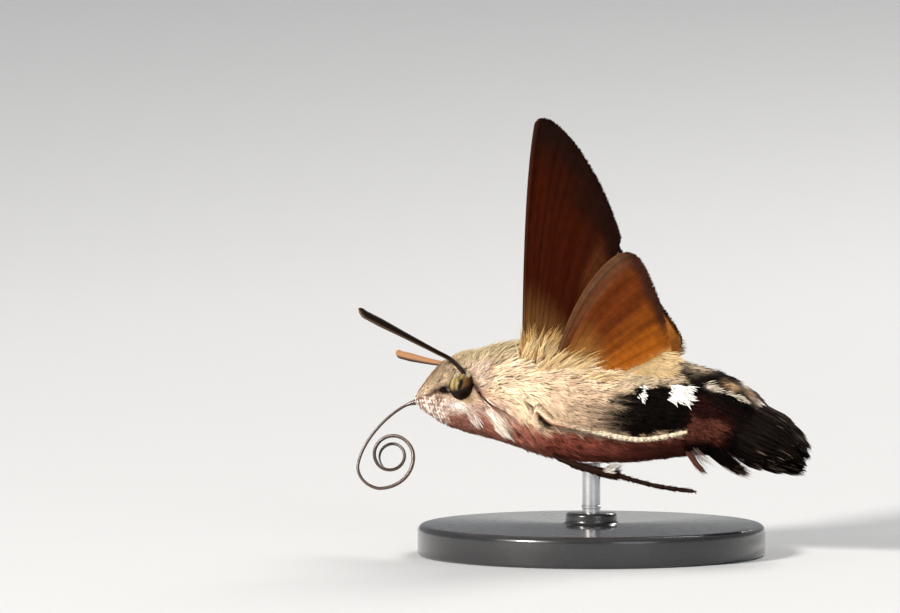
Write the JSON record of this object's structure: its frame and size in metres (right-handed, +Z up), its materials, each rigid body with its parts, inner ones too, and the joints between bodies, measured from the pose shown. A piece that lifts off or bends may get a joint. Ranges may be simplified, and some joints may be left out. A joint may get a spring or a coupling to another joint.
{
  "type": "hummingbird hawk moth, life-size still model on a display stand",
  "caption": "Hovering hawk moth with raised wings, clubbed antennae, partly coiled proboscis and dark tail fan, held over a round base by a short rod.",
  "frame": {"origin": "centre of the stand base's underside, on the surface it stands on", "axes": "+Z up, -X the way the moth faces, -Y its left side"},
  "size_m": [0.0358, 0.0315, 0.0343],
  "materials": {
    "fur_tan": "dense soft hair, matte",
    "fur_dark": "dense dark scales, satin",
    "eye": "glossy compound eye",
    "antenna": "matte horn",
    "proboscis": "satin brown horn",
    "wing_brown": "fine matte scales",
    "wing_orange": "fine matte scales",
    "leg_cream": "flat scales, satin",
    "leg_brown": "flat dark scales",
    "stand_base": "black acrylic, satin polish",
    "stand_rod": "brushed steel"
  },
  "bodies": {
    "root": {"head": "fur_tan", "palp_left": "fur_tan", "palp_right": "fur_tan", "eye_left": "eye", "eye_right": "eye", "antenna_left": "antenna", "antenna_right": "antenna", "proboscis_stem": "proboscis", "proboscis_bend": "proboscis", "proboscis_loop_lower": "proboscis", "proboscis_loop_upper": "proboscis", "proboscis_coil": "proboscis", "thorax": "fur_tan", "abdomen_front": "fur_tan", "abdomen_rear": "fur_dark", "tail_fan": "fur_dark", "forewing_left": "wing_brown", "forewing_right": "wing_brown", "hindwing_left": "wing_orange", "hindwing_right": "wing_orange", "foreleg_left": "leg_cream", "foreleg_right": "leg_cream", "midleg_left": "leg_cream", "midleg_right": "leg_cream", "hindleg_left": "leg_brown", "hindleg_right": "leg_brown", "stand_base": "stand_base", "stand_rod": "stand_rod"}
  },
  "joints": []
}
